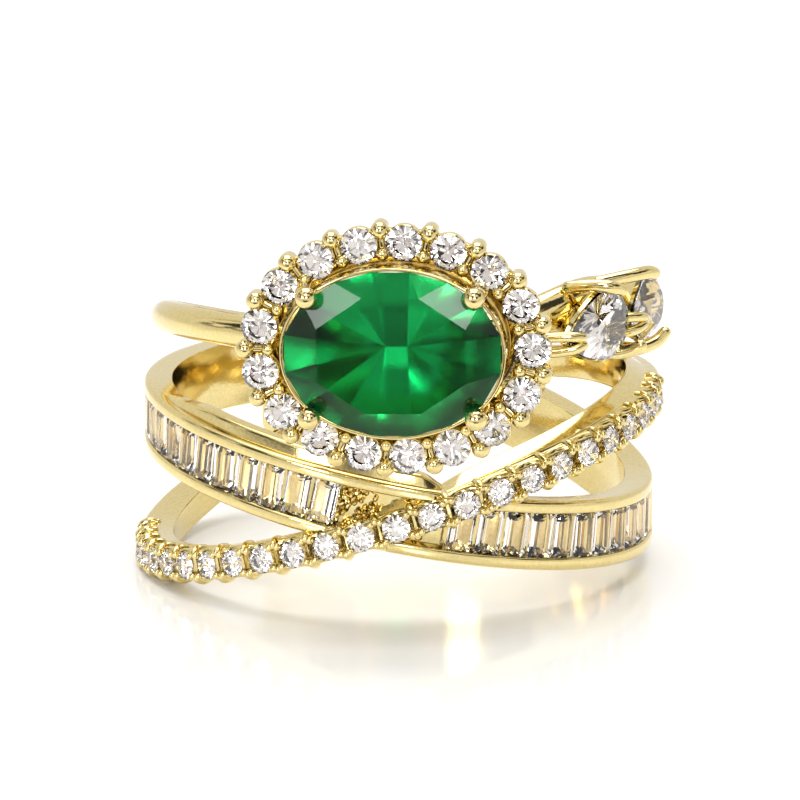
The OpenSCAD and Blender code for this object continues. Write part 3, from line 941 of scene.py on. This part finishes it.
def make_pear(name, place, cup_node, stone_node, wires):
    """A pear stone in a low cup on the band, held by a V at its point and two long wires."""
    to_ring = pear_frame(place)
    half = PEAR_WIDE / 2
    cut = cut_stone(name + "_cut", pear_outline, 12, 0.3, 0.78, table=0.52)
    cut.transform(Matrix.Diagonal((MM, MM, MM, 1)) @ to_ring @ Matrix.Diagonal((half, half, half, 1)))
    cut.materials.append(CLEAR)
    keep(name + "_cut", cut, CLEAR_SLOT, stone_node)
    work = Build()
    # The cup's wall, as a share of the stone's outline, and a level
    profile = [(0.98, -0.28), (1.0, -0.1), (1.05, -0.08), (1.1, -0.2)]
    profile += [(1.0, -0.5), (0.72, -1.2), (0.4, -1.3), (0.4, -1.0)]
    outline = [pear_outline(2 * math.pi * (i + 0.5) / 48) for i in range(48)]
    cup = [[to_ring @ Vector((x * half * s, y * half * s, z)) for s, z in profile] for x, y in outline]
    work.loft(cup, closed=True)
    tip = PEAR_LONG - half
    for side in (-1, 1):
        arm = [Vector((-tip - 1.2, side * 0.25, -1.4)), Vector((-tip - 0.75, side * 0.3, -0.7))]
        arm += [Vector((-tip - 0.1, side * 0.26, 0.1)), Vector((-tip + 0.3, side * 0.15, 0.36))]
        work.wire([to_ring @ p for p in arm], [0.2, 0.2, 0.2, 0.19], 16, 5)
    for route in wires:
        points = [around(*p) for p in route]
        work.wire(points, [0.26] * (len(points) - 1) + [0.24], 16, 5)
    keep(name + "_cup_metal", work.mesh(name + "_cup_metal", GOLD, sharp=50), GOLD_SLOT, cup_node)


# The long wires over and under each pear: angle from the front, distance out, and height
LOWER_WIRES = [
    [(44, 9.3, 8.5), (46.5, 10.0, 8.62), (49, 10.6, 8.6), (52, 10.75, 8.4)],
    [(52, 9.3, 5.9), (54.5, 10.0, 5.8), (56.5, 10.6, 5.95), (57, 10.95, 6.15)],
]
UPPER_WIRES = [
    [(54, 9.4, 8.45), (61, 10.1, 8.6), (65.5, 10.4, 8.6), (68.3, 10.45, 8.47)],
    [(62, 9.3, 5.75), (66, 9.9, 5.6), (70, 10.4, 5.75), (72, 10.65, 6.05)],
]


# ---- the studio ----
def make_floor():
    """A sheet of white acrylic with a faint gloss, under the ring and behind it."""
    low = cad_box[0].z
    material, tree = new_material("white_acrylic_sheet")
    place = add(tree, "ShaderNodeTexCoord").outputs["Object"]
    noise = add(tree, "ShaderNodeTexNoise", {"Vector": place, "Scale": 1 / (2 * MM), "Detail": 2.0})
    shine = ranged(tree, noise.outputs["Fac"], to_range=(0.08, 0.12))
    shader = add(
        tree,
        "ShaderNodeBsdfPrincipled",
        {"Base Color": rgb("#FAFAFA"), "Roughness": shine, "IOR": 1.45},
    )
    add(tree, "ShaderNodeOutputMaterial", {"Surface": shader.outputs["BSDF"]})
    size, front = 0.4, -0.034
    mesh = bpy.data.meshes.new("floor")
    corners = [(-size, front, low), (size, front, low), (size, size, low), (-size, size, low)]
    mesh.from_pydata(corners, [], [[0, 1, 2, 3]])
    mesh.materials.append(material)
    floor = bpy.data.objects.new("floor", mesh)
    bpy.context.scene.collection.objects.link(floor)


def make_world():
    """A light tent: pale at eye level, with panels high in front and a dark window low in front.

    The centre stone's upper half returns what is in that window, which keeps its green deep.
    """
    world = bpy.data.worlds.new("light_tent")
    bpy.context.scene.world = world
    world.use_nodes = True
    tree = world.node_tree
    tree.nodes.clear()
    way = add(tree, "ShaderNodeTexCoord").outputs["Generated"]
    axes = add(tree, "ShaderNodeSeparateXYZ", {"Vector": way}).outputs
    panels = add(tree, "ShaderNodeTexNoise", {"Vector": way, "Scale": 3.2, "Detail": 1.0})
    light = ranged(
        tree,
        panels.outputs["Fac"],
        from_range=(0.44, 0.56),
        to_range=(0.05, 1.1),
        interpolation_type="SMOOTHSTEP",
    )
    above = times(
        tree,
        ranged(tree, axes["Z"], from_range=(0.1, 0.22)),
        ranged(tree, axes["Y"], from_range=(0.5, 0.1)),
    )
    below = times(
        tree,
        ranged(tree, axes["Z"], from_range=(-0.204, -0.208)),
        ranged(tree, axes["Y"], from_range=(-0.82, -0.9)),
    )
    pale = add(
        tree,
        "ShaderNodeMix",
        {"Factor": above, "A": 0.92, "B": light},
        data_type="FLOAT",
    )
    strength = add(
        tree,
        "ShaderNodeMix",
        {"Factor": below, "A": pale.outputs["Result"], "B": 0.03},
        data_type="FLOAT",
    )
    back = add(
        tree,
        "ShaderNodeBackground",
        {"Color": rgb("#FAF8F4"), "Strength": strength.outputs["Result"]},
    )
    add(tree, "ShaderNodeOutputWorld", {"Surface": back.outputs["Background"]})


def softbox(name, direction, away, size, power):
    """A white softbox that faces the ring's middle."""
    lamp = bpy.data.lights.new(name, "AREA")
    lamp.shape = "RECTANGLE"
    lamp.size, lamp.size_y = size
    lamp.energy = power
    o = bpy.data.objects.new(name, lamp)
    bpy.context.scene.collection.objects.link(o)
    way = Vector(direction).normalized()
    o.location = way * away + Vector((0, 0, 0.004))
    o.rotation_euler = (-way).to_track_quat("-Z", "Y").to_euler()


def toward(azimuth, elevation):
    """A direction by its angle from the front to the right, and its height."""
    a, e = math.radians(azimuth), math.radians(elevation)
    return math.sin(a) * math.cos(e), -math.cos(a) * math.cos(e), math.sin(e)


def make_lights():
    softbox("front_left_softbox", toward(-33, 15), 0.3, (0.08, 0.08), 0.2)
    softbox("front_right_softbox", toward(8, 17), 0.32, (0.06, 0.06), 0.12)
    softbox("front_top_softbox", toward(0, 47), 0.3, (0.12, 0.09), 0.15)
    softbox("overhead_softbox", toward(180, 80), 0.35, (0.3, 0.3), 0.95)


make_bands()
make_band_stones()
make_grains()
make_halo()
make_gallery()
make_basket()
make_oval_stone()
make_pear("lower_pear", LOWER_PEAR, "lower_pear_cup", "lower_pear_stone", LOWER_WIRES)
make_pear("upper_pear", UPPER_PEAR, "upper_pear_cup", "upper_pear_stone", UPPER_WIRES)
make_floor()
make_world()
make_lights()
bpy.context.scene.view_settings.view_transform = "Standard"
